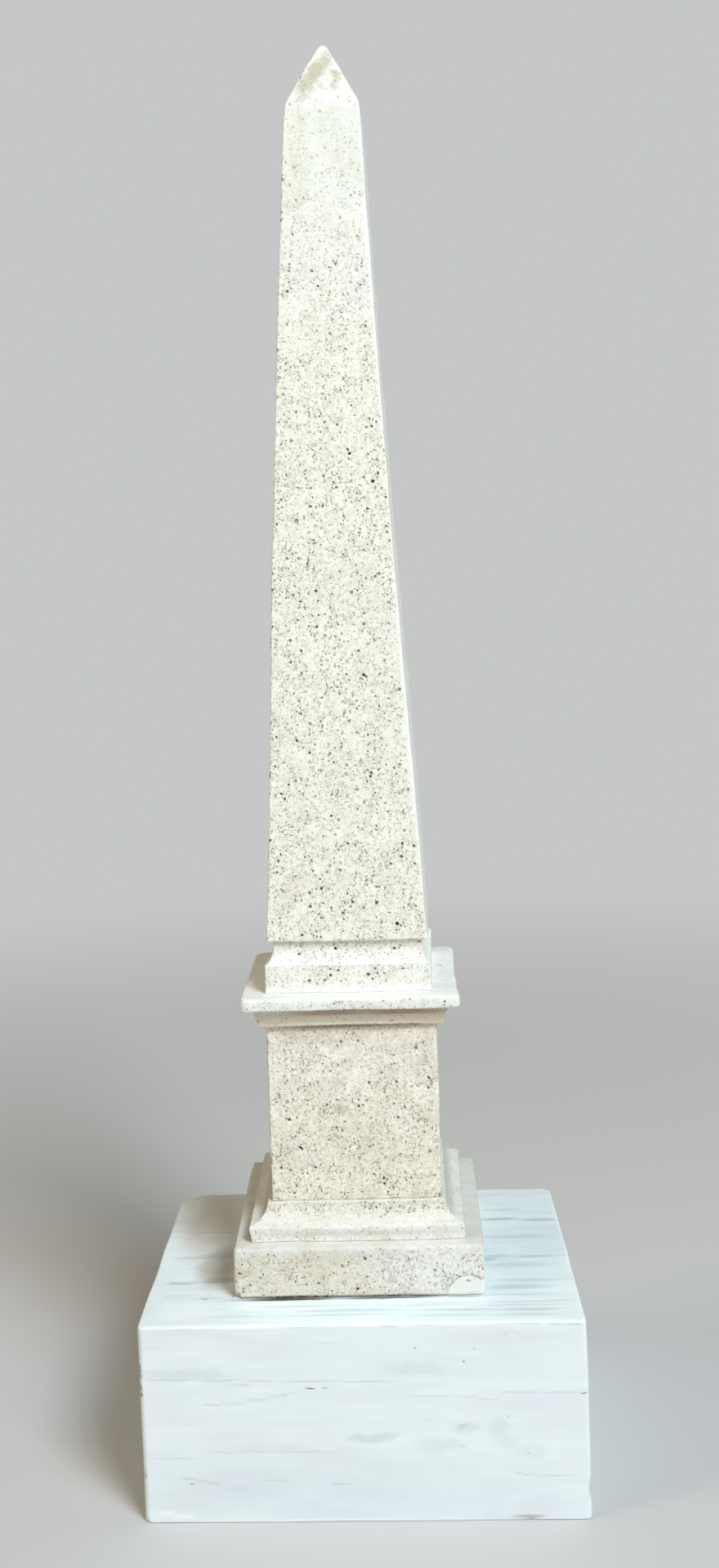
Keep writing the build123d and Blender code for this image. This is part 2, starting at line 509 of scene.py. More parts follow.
def strokes(tree, place, face, level, depth, rows):
    """How strongly a set of brush strokes shows at each place, from 0 to 1.

    On the face "front" the points are (x, z) and the plane is y = level, and on "top" they are
    (x, y) and the plane is z = level. The place less the ellipsoid's middle is turned back by the
    line's slope and divided by the three half sizes, so its length is 1 at the rim. Where strokes
    overlap, the stronger shows."""
    total = None
    for width, strength, start, end in stroke_parts(rows):
        (across, along), (run, rise) = (start + end) / 2, end - start
        slope = np.arctan2(rise, run)
        reach = brush_overlap * np.hypot(run, rise) + width
        upright = abs(run) < straight_enough * width
        sloping = not upright and abs(rise) >= straight_enough * width
        if upright and abs(rise) > abs(run):
            reach, width = width, reach
        middle, size, turn = (across, level, along), (reach, depth, width), (0, -slope, 0)
        if face == "top":
            middle, size, turn = (across, along, level), (reach, width, depth), (0, 0, slope)
        if sloping:
            turned = {"Vector": place, "Location": middle, "Rotation": turn, "Scale": size}
            local = add(tree, "Mapping", turned, vector_type="TEXTURE")
        else:
            scaled = {0: place, 1: 1 / np.array(size), 2: -np.array(middle) / size}
            local = add(tree, "VectorMath", scaled, operation="MULTIPLY_ADD")
        away = add(tree, "VectorMath", {0: local}, operation="LENGTH").outputs["Value"]
        shown = add(tree, "MapRange", {
            "Value": away, "From Min": 1.0, "From Max": 0.3, "To Max": strength,
        }, interpolation_type="SMOOTHSTEP")
        if total is not None:
            shown = add(tree, "Math", {0: total, 1: shown}, operation="MAXIMUM")
        total = shown
    return total


def stepped(rows):
    """The same strokes, with each sloping one cut into level steps.

    A crack in wood goes down like that, from one grain to the next."""
    steps = []
    for width, strength, start, end in stroke_parts(rows):
        way = end - start
        steep = abs(way[1]) > steep_slope * abs(way[0])
        count = 1 if steep else max(1, int(np.ceil(abs(way[1]) / (step_down * width))))
        half = way / 2 / count * (1, 1 if steep else 0)
        for step in range(count):
            middle = start + way * (step + 0.5) / count
            steps.append((width, strength, *(middle - half), *(middle + half)))
    return steps


def object_grid(tree, wobble, grain):
    """Object coordinates in millimetres, as they are and shaken by a small noise.

    The shaken place is the place plus wobble times a noise vector whose middle value is 0."""
    place = add(tree, "TexCoord").outputs["Object"]
    grid = add(tree, "Mapping", {"Vector": place, "Scale": (1 / mm,) * 3})
    noise = add(tree, "TexNoise", {"Vector": grid, "Scale": 1 / grain}).outputs["Color"]
    noise = add(tree, "VectorMath", {0: noise, 1: (0.5,) * 3}, operation="SUBTRACT")
    shaken = add(tree, "VectorMath", {0: noise, 1: (wobble,) * 3, 2: grid}, operation="MULTIPLY_ADD")
    return grid, shaken


# %% [markdown]
# ## The finish of the stone
#
# The stone is cast: crushed marble in a cream binder, with grey and black grit scattered through
# it, rubbed to a dull satin. To the eye it is a warm white ground, clouded over a few
# millimetres, with grains of several sizes: a fine grey dust, short grey flecks that lie every
# way, and now and then one black grain of more than a millimetre.
#
# Grit could be drawn on each face, but then it would not match at the arrises. Here it fills the
# solid, as it does in the real stone, and each face shows the grains that it cuts. Space is
# divided into cells, and each cell holds one grain or none. The cell's size sets how many there
# are, and a stretched cell gives a fleck.
#
# Each course was cast by itself, so each has its own ground colour and its own share of grit.

# %% Cast stone
grit_sizes = (
    # cell mm, grain radius mm, length by width, slant in degrees, share of cells, strength, colour
    (1.3, 0.42, 1.0, 0.0, 0.80, 0.55, "#85837a"),
    (1.5, 0.38, 2.2, 15.0, 0.70, 0.70, "#77746a"),
    (1.5, 0.38, 2.0, 75.0, 0.70, 0.70, "#746f63"),
    (1.5, 0.36, 2.4, -50.0, 0.70, 0.70, "#80725f"),
    (2.6, 0.57, 1.3, 50.0, 0.60, 0.90, "#504d45"),
    (6.0, 0.76, 1.1, 20.0, 0.50, 1.00, "#1d1b18"),
)
cloud_tones = (
    # grain mm, shift that makes it another cloud, colour
    (9.0, 0.0, "#d8cdb6"), (5.0, 40.0, "#d3d6c6"), (15.0, 90.0, "#dfd6c6"),
)
mark_depth = 14.0
# Marks with a half width over this have a ragged rim.
broad_mark = 2.0


def scatter(tree, place, ground, thin):
    """Mixes grains into the ground, one size after another, as strongly as thin allows.

    A grain shows where the distance to the cell's own point is under its radius. The cell's random
    colour decides whether it holds a grain, and how large it is: from 0.55 to 1.25 times the radius.
    The grain's rim fades over 0.35 times the radius."""
    for cell, radius, stretch, slant, share, strength, colour in grit_sizes:
        turned = add(tree, "Mapping", {
            "Vector": place, "Rotation": (0, radians(slant), radians(30)),
            "Scale": (cell * stretch, cell, cell),
        }, vector_type="TEXTURE")
        dots = add(tree, "TexVoronoi", {"Vector": turned, "Scale": 1.0}).outputs
        chance = add(tree, "SeparateColor", {0: dots["Color"]}).outputs
        there = add(tree, "Math", {0: chance[0], 1: share}, operation="LESS_THAN")
        size = radius / cell
        reach = {0: chance[1], 1: size * 0.7, 2: size * 0.55}
        reach = add(tree, "Math", reach, operation="MULTIPLY_ADD")
        inside = add(tree, "Math", {0: reach, 1: dots["Distance"]}, operation="SUBTRACT")
        shown = add(tree, "MapRange", {"Value": inside, "From Max": size * 0.35, "To Max": strength})
        shown = add(tree, "Math", {0: shown, 1: there}, operation="MULTIPLY")
        shown = add(tree, "Math", {0: shown, 1: thin}, operation="MULTIPLY")
        ground = coat(tree, ground, shown, colour)
    return ground


def cast_stone(name, ground, cloudiness, grit=1.0, zone=None, stains=(), seam=None, sides=(), rubbed_and_highlit=()):
    """The finish of one course.

    ground is its colour. zone, if given, is (start, end, colour, grit): from the height start on,
    the finish changes evenly and has that colour and grit at the height end. Faces turned up or to
    the right show fewer grains: on the bright ledges this is a painted highlight, glare that washes
    the grains out.
    stains lists (face, level, strokes, colour). seam is the (centre, half sizes) of a filled scoop.
    sides is the tint of the left and the right sides: painted shade, dark and warm on the left, grey
    on the right. rubbed_and_highlit lists (face, level, strokes) where an arris is rubbed white and
    shows no grains: partly wear, partly a painted highlight where the arris catches the light."""
    material, tree = new_material(name)
    grid, shaken = object_grid(tree, wobble=0.9, grain=1.1)
    colour = linear(ground)
    normal = add(tree, "NewGeometry").outputs["Normal"]
    facing = add(tree, "SeparateXYZ", {"Vector": normal}).outputs
    # Fewer grains on faces turned up or to the right; on the ledges this is a painted highlight, glare that
    # washes the grains out.
    faces_up_or_right = add(tree, "Math", {0: facing["X"], 1: facing["Z"]}, operation="MAXIMUM")
    thin = add(tree, "MapRange", {
        "Value": faces_up_or_right, "From Min": 0.45, "From Max": 0.85, "To Min": grit, "To Max": 0.3 * grit,
    })
    cluster = patches(tree, grid, 6.0, 0.36, 0.62, 1.35, 0.6, Detail=1.0)
    thin = add(tree, "Math", {0: thin, 1: cluster}, operation="MULTIPLY")
    if zone:
        start, end, zone_colour, zone_grit = zone
        height = add(tree, "SeparateXYZ", {"Vector": grid}).outputs["Z"]
        rise = {"Value": height, "From Min": start, "From Max": end}
        colour = coat(tree, colour, add(tree, "MapRange", rise), zone_colour)
        share = add(tree, "MapRange", {**rise, "To Min": 1.0, "To Max": zone_grit})
        thin = add(tree, "Math", {0: thin, 1: share}, operation="MULTIPLY")

    for grain, shift, tone in cloud_tones:
        moved = add(tree, "Mapping", {"Vector": grid, "Location": (shift,) * 3})
        cloud = patches(tree, moved, grain, 0.46, 0.72, cloudiness, Detail=3.0, Roughness=0.6)
        colour = coat(tree, colour, cloud, tone)
    # Painted shade: faces turned to the left get a dark warm tint, faces turned to the right a grey one.
    for away, tint in zip((-1.0, 1.0), sides):
        side = add(tree, "Math", {0: facing["X"], 1: away}, operation="MULTIPLY")
        side = add(tree, "MapRange", {"Value": side, "From Min": 0.5, "From Max": 0.9, "To Max": 0.75})
        colour = coat(tree, colour, side, tint)

    smudged = object_grid(tree, wobble=5.0, grain=2.6)[1] if stains else None
    for face, level, rows, tone in stains:
        place = smudged if rows[0][0] > broad_mark else shaken
        colour = coat(tree, colour, strokes(tree, place, face, level, mark_depth, rows), tone)
    # Arrises rubbed white with no grains: partly wear, partly a painted highlight where the arris catches the
    # light.
    for face, level, rows in rubbed_and_highlit:
        worn = strokes(tree, shaken, face, level, mark_depth, rows)
        colour = coat(tree, colour, worn, "#f5f8f4")
        kept = add(tree, "Math", {0: 1.0, 1: worn}, operation="SUBTRACT")
        thin = add(tree, "Math", {0: thin, 1: kept}, operation="MULTIPLY")

    crumb_most = 0.5 + 0.5 * cloudiness
    crumb = patches(tree, shaken, 1.5, 0.44, 0.62, crumb_most, Roughness=0.7, Distortion=0.8)
    crumb = add(tree, "Math", {0: crumb, 1: thin}, operation="MULTIPLY")
    colour = coat(tree, colour, crumb, "#c4c0b0")
    colour = scatter(tree, shaken, colour, thin)
    if seam:
        centre, size = seam
        scaled = {0: shaken, 1: 1 / size, 2: -centre / size}
        local = add(tree, "VectorMath", scaled, operation="MULTIPLY_ADD")
        away = add(tree, "VectorMath", {0: local}, operation="LENGTH").outputs["Value"]
        near = add(tree, "MapRange", {"Value": away, "From Min": 1.16, "From Max": 1.03, "To Max": 0.25})
        colour = coat(tree, colour, near, "#8f8c80")
    fine = add(tree, "TexNoise", {"Vector": grid, "Scale": 1 / 0.9})
    surface(tree, colour, fine, strength=0.3, depth=0.08, roughness=0.6)
    return material


# %% [markdown]
# ## The filler in the corner
#
# One lower corner of the plinth broke off and was made good with a fine plaster filler, struck
# off flush. It has no grit, so it shows as a pale, slightly green patch. A soft noise a few
# millimetres across stands for the strokes of the knife.

# %% Filler
plinth_front = -50.3


def gypsum_filler():
    """Plaster trowelled flush: nearly even, with faint smears and three open pits."""
    material, tree = new_material("gypsum_filler")
    grid, shaken = object_grid(tree, wobble=1.0, grain=1.2)
    smear = add(tree, "TexNoise", {"Vector": grid, "Scale": 1 / 4.0, "Detail": 3.0})
    tone = coat(tree, linear("#dde4dd"), smear, "#e8ebe4")
    pits = strokes(tree, shaken, "front", plinth_front, 3.0, [
        (0.7, 0.8, 46.6, 96.3, 48.1, 96), (0.5, 0.6, 45, 98.3, 45.3, 98.4), (0.45, 0.5, 50, 97, 50.6, 97.1),
    ])
    surface(tree, coat(tree, tone, pits, "#8a877c"), smear, strength=0.3, depth=0.15, roughness=0.75)
    return material


# %% [markdown]
# ## Setting out the courses
#
# Each course reads its foot, its head and its half width from the construction model. Only the
# outline between them is written here, in the mason's order from the bed upwards.
#
# The upper part is not set quite true on the real thing: the socle and the shaft are turned a
# little on the cornice, and the shaft twists and bows slightly as it rises.

# %% Measures and placing
low, high = span("die")
axis = ((low + high) / 2)[:2]
print(f"the obelisk's axis stands at {axis.round(1)} mm")


def course_size(node):
    """The half width of a course and the heights of its foot and head."""
    low, high = span(node)
    return (high[0] - low[0]) / 2, low[2], high[2]


def course(outline, corner_shares=(1.0, 1.0, 1.0, 1.0)):
    """The grid of one course about the axis, from its outline, slightly uneven.

    corner_shares multiplies the corner radius at the front left, front right, back right and back
    left. Between two corners it changes evenly along the side."""
    half, height, corner = worn_outline(outline).T
    grid = carry_round(np.column_stack([half, half]), height, corner[:, None] * round_corners(corner_shares))
    grid = unevenness(grid, grain=26.0, depth=0.16, seed=11)
    return unevenness(grid, grain=7.0, depth=0.05, seed=31)


def stand(grid, turn=0.0, shift=0.0):
    """Sets a course on the axis, turned clockwise seen from above and moved to the right.

    Either may be one number, or one for each point: x' = x cos t + y sin t, y' = y cos t - x sin t."""
    c, s = np.cos(turn), np.sin(turn)
    x, y, z = grid[..., 0], grid[..., 1], grid[..., 2]
    return np.stack([c * x + s * y + axis[0] + shift, c * y - s * x + axis[1], z], axis=-1)


# %% [markdown]
# ## The plinth and its filled corner
#
# The lowest course is a plain square slab. Its lower front left corner is rubbed away, and the
# lower front right one broke off in a flat scoop. An uneven ball stands for the scoop: the plinth
# is the slab with the ball taken away, and the filler is what the slab and the ball share. A
# Boolean keeps both closed, and their common face fits exactly.

# %% Plinth
half, foot, head = course_size("plinth")
plinth_grid = course([
    (0, foot, 0.5, 1), (half, foot, 1.5, 1.0), (half, head, 1.5, 1.15), (44, head, 0.5, 1), (0, head, 0.5, 1),
])
plinth_grid = chip_arrises(plinth_grid, [(half, foot), (half, head)], count=16, seed=201)
plinth_grid = bite(plinth_grid, (-half - 1.9, -half - 1.2, foot - 1.0), 5.4)
plinth_grid = bite(plinth_grid, (-half - 0.5, -half - 0.3, foot + 13.2), 1.4)
plinth_grid = out_of_square(plinth_grid, (half, half), (0.3, 0.8, 0.5, -1.4))
whole = skin("plinth_before_the_break", stand(plinth_grid))

scoop_size = np.array([11.6, 9.5, 6.8])
scoop_centre = np.array([axis[0] + half - 5.5, axis[1] - half + 4.0, foot + 2.8])
polar = np.linspace(0, pi, 41)[:, None]
around = np.linspace(0, 2 * pi, 80, endpoint=False)
ball = np.stack([
    np.sin(polar) * np.cos(around), np.sin(polar) * np.sin(around), -np.cos(polar) * np.ones_like(around),
], axis=-1)
scoop = skin("scoop", unevenness(scoop_centre + ball * scoop_size, grain=6.0, depth=0.6, seed=5))


def cut(name, solid, tool, operation):
    """A new object: solid with tool taken away (DIFFERENCE) or only what both share (INTERSECT)."""
    piece = bpy.data.objects.new(name, solid.data.copy())
    bpy.context.collection.objects.link(piece)
    boolean = piece.modifiers.new("cut", "BOOLEAN")
    boolean.operation = operation
    boolean.object = tool
    boolean.solver = "EXACT"
    shape = piece.evaluated_get(bpy.context.evaluated_depsgraph_get())
    mesh = bpy.data.meshes.new_from_object(shape)
    piece.modifiers.clear()
    piece.data = mesh
    mesh.name = name
    return piece


plinth = cut("plinth_stone", whole, scoop, "DIFFERENCE")
corner_repair = cut("corner_filler", whole, scoop, "INTERSECT")
for spent in (whole, scoop):
    bpy.data.objects.remove(spent)
plinth_stone = cast_stone(
    "cast_stone_plinth", "#e7e2d3", cloudiness=0.7, grit=0.85, zone=(107.5, 110.5, "#e2e3dc", 0.6),
    # The side tints are painted shade on the left and right faces.
    seam=(scoop_centre, scoop_size), sides=("#b5a68e", "#c8c9bd"), stains=[
        ("front", plinth_front, [(17, 0.85, 14, 101, 56, 101)], "#efefed"),
        # Painted contact shadow: a dark line along the plinth's foot, where it stands on the block.
        ("front", plinth_front, [
            (1.3, 1, -56, foot + 0.6, 0, foot + 0.6), (1.1, 0.9, -10, foot + 0.5, 40, foot + 0.4),
        ], "#4f4a3c"),
    ],
)
hand_over(plinth, "plinth", plinth_stone)
hand_over(corner_repair, "corner_repair", gypsum_filler())

# %% [markdown]
# ## The base moulding
#
# Above the plinth a square fillet carries a cavetto, a quarter hollow that draws in to the die's
# foot. The hollow is a true arc. A bevel with a concave profile would come close, but the arc
# from its two ends and its bulge is exact.

# %% Base moulding
fillet_height = 7.4
moulding_run = 8.2
quarter_bulge = 0.2071


def hollow(start, end, bulge, steps=12):
    """Points of an arc from start to end, both (half width, height).

    The arc's middle lies bulge times the chord's length to the left of the chord. Each point is
    the circle's centre plus its radius times a direction that turns evenly."""
    start, end = np.array(start, float), np.array(end, float)
    chord = end - start
    length = np.linalg.norm(chord)
    left = np.array([-chord[1], chord[0]]) / length
    sagitta = bulge * length
    radius = (length ** 2 / 4 + sagitta ** 2) / (2 * sagitta)
    centre = (start + end) / 2 + left * (sagitta - radius)
    first = np.arctan2(*(start - centre)[::-1])
    last = np.arctan2(*(end - centre)[::-1])
    sweep = (last - first + pi) % (2 * pi) - pi
    turn = first + sweep * np.linspace(0, 1, steps + 1)
    return centre + abs(radius) * np.column_stack([np.cos(turn), np.sin(turn)])


half, foot, head = course_size("base_moulding")
front = axis[1] - half
quarter = hollow((half, foot + fillet_height), (half - moulding_run, head), quarter_bulge)
moulding_outline = [(0, foot, 0.5, 1), (half, foot, 0.6, 0.45)]
moulding_outline += [(x, z, 0.6, 0.8 if k == 0 else 0.5) for k, (x, z) in enumerate(quarter)]
moulding_outline += [(0, head, 0.5, 1)]
fillet = [(half, foot), (half, foot + fillet_height)]
moulding_grid = chip_arrises(course(moulding_outline), fillet, count=14, seed=202)
moulding_grid = bite(moulding_grid, (-half - 0.9, -half - 0.4, foot + 1.2), 2.3)
moulding_grid = out_of_square(moulding_grid, (half, half), (0.0, 0.0, 0.0, -1.4))
moulding_stone = cast_stone(
    "cast_stone_moulding", "#e6e5d7", cloudiness=0.4, grit=1.1, zone=(122.0, 119.0, "#eeeee8", 0.5),
    # The side tints are painted shade on the left and right faces.
    sides=("#b2a18b", "#bcc2be"), stains=[
        # Painted shade and highlight on the fillet: a grey band with pale lines above and below it.
        ("front", front, [(1.5, 0.45, -53, foot + 3.8, 50, foot + 3.8)], "#c6cac4"),
        ("front", front, [
            (0.8, 0.6, -54, foot + 6.5, 51, foot + 6.5), (0.8, 0.5, -53, foot + 1, 50, foot + 1),
        ], "#f6f8f4"),
        # Painted shadow in a chip at the fillet's left end.
        ("front", front, [(1, 0.9, -50.6, foot + 1, -50.5, foot + 5)], "#5f564a"),
    ],
)
hand_over(skin("base_moulding_stone", stand(moulding_grid)), "base_moulding", moulding_stone)

# %% [markdown]
# ## The die
#
# The plain square shaft of the pedestal is the warmest and most speckled course. Its front has
# a few brown stains and a painted shadow line under the cornice. Its upper part is painted lighter,
# painted light that keeps the cornice's shadow from darkening it.

# %% Die
die_head_half = 38.45

half, foot, head = course_size("die")
front = axis[1] - half
die_outline = [(0, foot, 0.5, 1), (half, foot, 0.9, 0.5), (die_head_half, head, 0.9, 0.3), (0, head, 0.5, 1)]
die_grid = chip_arrises(course(die_outline), [(half, foot), (die_head_half, head)], count=18, seed=203)
die_stone = cast_stone(
    # The zone paints the upper part lighter: painted light against the cornice's shadow.
    "cast_stone_die", "#f9f4e4", cloudiness=0.5, grit=0.95, zone=(head - 40.0, head - 6.0, "#fffdf1", 0.85),
    # The side tints are painted shade on the left and right faces.
    sides=("#b09f8a", "#c6c6b8"), stains=[
        ("front", front, [(2.6, 0.5, -11, 171.3, -5.2, 171), (1.6, 0.6, -9.5, 169, -6, 169.2)], "#b7a68a"),
        ("front", front, [(2.4, 0.45, 2, 156, 5, 155.4)], "#c9b396"),
        # Painted shadow: a dark line at the die's head, under the cornice.
        ("front", axis[1] - die_head_half, [(0.9, 0.8, -41, head - 0.3, 37, head - 0.3)], "#756860"),
    ],
)
hand_over(skin("die_stone", stand(die_grid)), "die", die_stone)

# %% [markdown]
# ## The cornice
#
# A hollow bed moulding carries a thin round-nosed slab. The slab's back left corner is worn to a
# wide round, its back right one is lifted, and its right edge is slightly hollow. The bed moulding
# under the slab is painted shade: darker, warmer and pinkish, with painted shadow lines under the
# slab and at its foot, and a painted highlight on its lower fillet.

# %% Cornice
bed_height = 9.3
bed_foot_half = 41.3
bed_head_half = 44.3
bed_fillet = 1.8
bed_bulge = 0.06
cornice_shift = -0.65
lift = 1.4

half, foot, head = course_size("cornice")
slab_foot = foot + bed_height
cavetto = hollow((bed_foot_half, foot + bed_fillet), (bed_head_half, slab_foot), bed_bulge)
cornice_outline = [(0, foot, 0.5, 1), (bed_foot_half, foot, 0.6, 0.35)]
cornice_outline += [(x, z, 0.6, 0.35) for x, z in cavetto]
cornice_outline += [(half, slab_foot, 3.0, 0.6), (half, head, 4.0, 1.4), (0, head, 0.5, 1)]
cornice_grid = course(cornice_outline, corner_shares=(1.0, 1.0, 1.0, 1.5))
cornice_grid = chip_arrises(cornice_grid, [(half, slab_foot), (half, head)], count=16, seed=204)
# The slab's right edge is hollow by 0.3 mm near its middle, and stands out by 0.9 mm at its front.
right_edge = np.clip((cornice_grid[..., 0] - 38.0) / 6.0, 0, 1)
dip = 0.3 * np.exp(-((cornice_grid[..., 1] + 2.0) / 14.0) ** 2)
dip -= 0.9 * np.exp(-((cornice_grid[..., 1] + 45.0) / 12.0) ** 2)
cornice_grid[..., 0] -= right_edge * dip
cornice_grid = out_of_square(cornice_grid, (half, half), (0.0, 0.0, 0.5, -1.4))
warp = np.clip(cornice_grid[..., 0] / half, 0, 1) * np.clip(cornice_grid[..., 1] / half, 0, 1)
cornice_grid[..., 2] += lift * warp * (cornice_grid[..., 2] > slab_foot - 2.0)
bed_front = axis[1] - bed_head_half
# Painted shade: a warm pinkish band high on the bed moulding, in the slab's shadow.
bed_warm_shade = [
    (1.9, 0.8, -30, slab_foot - 2.4, 10, slab_foot - 2.5), (1.3, 0.9, -45, foot + 3.4, -43.6, foot + 3),
    (1.9, 0.9, 0, slab_foot - 2.4, 43, slab_foot - 2.5),
]
# Painted shadow lines: under the slab's nose and at the bed moulding's foot, on the die.
bed_shadow_lines = [
    (1.3, 0.75, -47, slab_foot - 0.6, 43, slab_foot - 0.6), (1, 0.95, -43, foot + 0.4, 38, foot + 0.4),
    (1, 0.9, 22, foot + 0.4, 30, foot + 0.3),
]
cornice_stone = cast_stone(
    "cast_stone_cornice", "#f3f5f0", cloudiness=0.2, grit=0.7,
    # The zone paints the bed moulding darker and warmer under the slab: painted shade.
    zone=(slab_foot + 0.6, slab_foot - 0.4, "#e0dac5", 0.55), stains=[
        ("top", head, [(0.8, 0.45, 38.1, 18.2, 41.9, 9.4), (0.8, 0.4, 38.6, -13.5, 42.4, -15)], "#b4b3a6"),
        ("front", bed_front, bed_warm_shade, "#b98f7b"),
        # Painted highlight on the bed moulding's lower fillet.
        ("front", bed_front, [(0.9, 0.7, -43, foot + 1.7, 38, foot + 1.7)], "#f6f1e6"),
        ("front", bed_front, bed_shadow_lines, "#75664f"),
    ],
)
cornice = skin("cornice_stone", stand(cornice_grid, shift=cornice_shift))
hand_over(cornice, "cornice", cornice_stone)

# %% [markdown]
# ## The socle
#
# The block under the shaft has a scotia, a hollow cut round its neck, in one arc from a narrow
# ledge to the shaft's bed. Nine large black grains on its front catch the eye.

# %% Socle
upper_turn = radians(1.0)
upper_shift = -0.25
neck_height = 12.7
socle_head_half = 33.65
scotia_bulge = 0.12

half, foot, head = course_size("socle")
neck_foot = foot + neck_height
scotia = hollow((half - 0.9, neck_foot), (socle_head_half, head), scotia_bulge)
socle_outline = [(0, foot, 0.5, 1), (half + 0.5, foot, 0.7, 0.4), (half, foot + 1.5, 0.7, 0.8)]
socle_outline += [(half, neck_foot, 0.7, 0.3)] + [(x, z, 0.7, 0.2) for x, z in scotia]
socle_outline += [(0, head, 0.5, 1)]
socle_block = [(half, foot), (half, neck_foot)]
socle_grid = chip_arrises(course(socle_outline), socle_block, count=12, seed=205, deepest=0.7)
socle = skin("socle_stone", stand(socle_grid, upper_turn, upper_shift))
black_grains = [(0.85 * size, 1, x, z, x + 0.3, z) for size, x, z in (
    (1.15, -20.3, 229.8), (1, -13.3, 229.8), (1.05, -10.6, 232.1), (0.85, -10.6, 234.9),
    (0.85, -7.1, 234.3), (1.3, 6.4, 232.1), (0.9, 9.3, 234.9), (0.7, 13.5, 232.4), (1, -24.8, 241.3),
)]
socle_stone = cast_stone(
    "cast_stone_socle", "#f7f9f0", cloudiness=0.2, grit=0.8, zone=(229.0, 225.5, "#f5f6f1", 0.3),
    stains=[("front", axis[1] - half, black_grains, "#1d1b18")],
)
hand_over(socle, "socle", socle_stone)

# %% [markdown]
# ## The shaft
#
# The shaft tapers evenly to its shoulder and ends in a blunt pyramid. Its mould was not quite
# flat: the four slopes of the pyramid swell a little, and the shaft bows to the left by about a
# millimetre in its upper half and twists by 0.6 degrees. The stone is whiter towards the top,
# with less grit, and the point is stained tan where hands lift it.

# %% Shaft
shoulder_half = 16.5
pyramid_height = 29.0
tip_half = 1.3
bow = 1.07
bow_foot = 300.0
most_twist = radians(0.6)

half, foot, head = course_size("shaft")
shoulder = head - pyramid_height
shaft_grid = course([
    (0, foot, 0.5, 1), (half, foot, 0.8, 0.45), (shoulder_half, shoulder, 0.9, 2.0),
    (10.0, shoulder + 12.8, 0.7, 3.0), (tip_half, head, 0.6, 0.5), (0, head, 0.2, 0.3),
])
uprights = [(half, foot), (shoulder_half, shoulder)]
shaft_grid = chip_arrises(shaft_grid, uprights, count=26, seed=206, deepest=0.8)
shaft_grid = bite(shaft_grid, (-10.4, -10.2, shoulder + 13.0), 1.5)
rise = (shaft_grid[..., 2] - foot) / (head - foot)
sway = np.sin(pi * np.clip((shaft_grid[..., 2] - bow_foot) / (head - bow_foot), 0, 1))
twist = most_twist * np.sin(pi * rise)
shaft = skin("shaft_stone", stand(shaft_grid, upper_turn + twist, upper_shift - bow * sway))
shaft_stone = cast_stone(
    "cast_stone_shaft", "#f8f9eb", cloudiness=0.2, zone=(500.0, 610.0, "#f1f5eb", 0.38), stains=[
        ("front", -4.0, [
            (4.4, 0.6, -0.2, 638.4, -2, 632), (5.4, 0.7, -2.2, 634.6, -7.4, 626.4),
            (5.6, 0.62, -5.6, 629, -11.2, 619.6), (3.2, 0.5, -9, 619.4, -12, 616),
            (2.6, 0.35, -3.6, 624, -1.2, 620.8), (2.8, 0.6, 2.4, 629.4, 4.6, 626),
            (2.6, 0.45, 2.6, 624.4, 3.4, 621.4),
        ], "#ac9f79"),
        ("front", -31.0, [(7, 0.25, -32, 262, -24, 276)], "#d2c5aa"),
        ("front", -10.0, [(6, 0.35, -13.6, 616, -14.4, 572)], "#e2e1bf"),
    ],
    # White strips along the right arrises: partly wear, partly a painted highlight.
    rubbed_and_highlit=[
        ("front", -27.0, [(5, 0.9, 33.4, 258, 23.6, 442)]),
        ("front", -16.0, [(4.2, 0.85, 24, 428, 14.4, 610)]),
    ],
)
hand_over(shaft, "shaft", shaft_stone)

# %% [markdown]
# ## The timber block
#
# The block is an offcut of sawn softwood with a thin coat of white paint. In plan it is a
# rectangle with four different corners: sharp in front, and well rounded at the back left, where
# the bark was near. The saw did not cut square, so its front and its ends lean out a little
# towards the foot. The same square path as before gives its rings, with a corner radius of its
# own at each corner.
#
# A tree grows a ring a year, so its rings are tubes about the pith, and a sawn face shows them
# as lines: close together where the saw cut across them, and far apart where it ran along them.
# One number gives every face its lines: the distance from the pith, which here lies low and
# towards the back.

# %% Growth rings
ring_width = 3.5
pith_back = 50.0
pith_up = 20.0
pith_dip = 0.035


def growth(points):
    """Each point's distance from the pith, in millimetres, with a slow wander along the grain.

    It is the square root of the squared distances back and up from the pith line, which runs
    along x and dips a little to the right."""
    drift = np.stack([points[..., 0] / 5, points[..., 1], points[..., 2]], axis=-1)
    up = points[..., 2] - pith_up + pith_dip * points[..., 0]
    plain = np.hypot(points[..., 1] - pith_back, up)
    return plain + 1.1 * wander(drift, 22.0, seed=71) + 0.35 * wander(drift, 6.0, seed=72)


low, high = span("timber_block")
block_half = (high - low)[:2] / 2
block_height = high[2]
print(f"block {2 * block_half} by {block_height} mm")

# %% Timber block
block_corners = (2.4, 2.4, 4.0, 14.0)
ring_relief = 0.04
knocks = (
    # the middle of the ball, and its radius
    (-99.6, -81, -0.6, 5.4), (100, -81.6, -0.8, 3.2), (71, -82.2, -2.2, 4.4), (-98.5, -78.6, 69.5, 2.4),
    (-98.5, -79, 60.5, 2.6), (-98.7, -80, 21.6, 2.2), (99.2, -81, 14, 2.8),
)

station, outward = square_path(112, corner_steps)
rim_outline = worn_outline([
    (0, 0, 0, 1), (block_half[1], 0, 0, 0.6), (block_half[1], block_height, 0, 0.8), (0, block_height, 0, 1),
], coarse=1.4)
half_widths = rim_outline[:, :1] / block_half[1] * block_half
block_grid = carry_round(half_widths, rim_outline[:, 1], round_corners(block_corners))

to_front = np.clip(0.5 - block_grid[..., 1] / block_half[1] / 2, 0, 1)
sideways = block_grid[..., 0] / block_half[0]
down = 1 - block_grid[..., 2] / block_height
block_grid = out_of_square(block_grid, block_half, (0.0, -0.3, -2.3, -1.4))
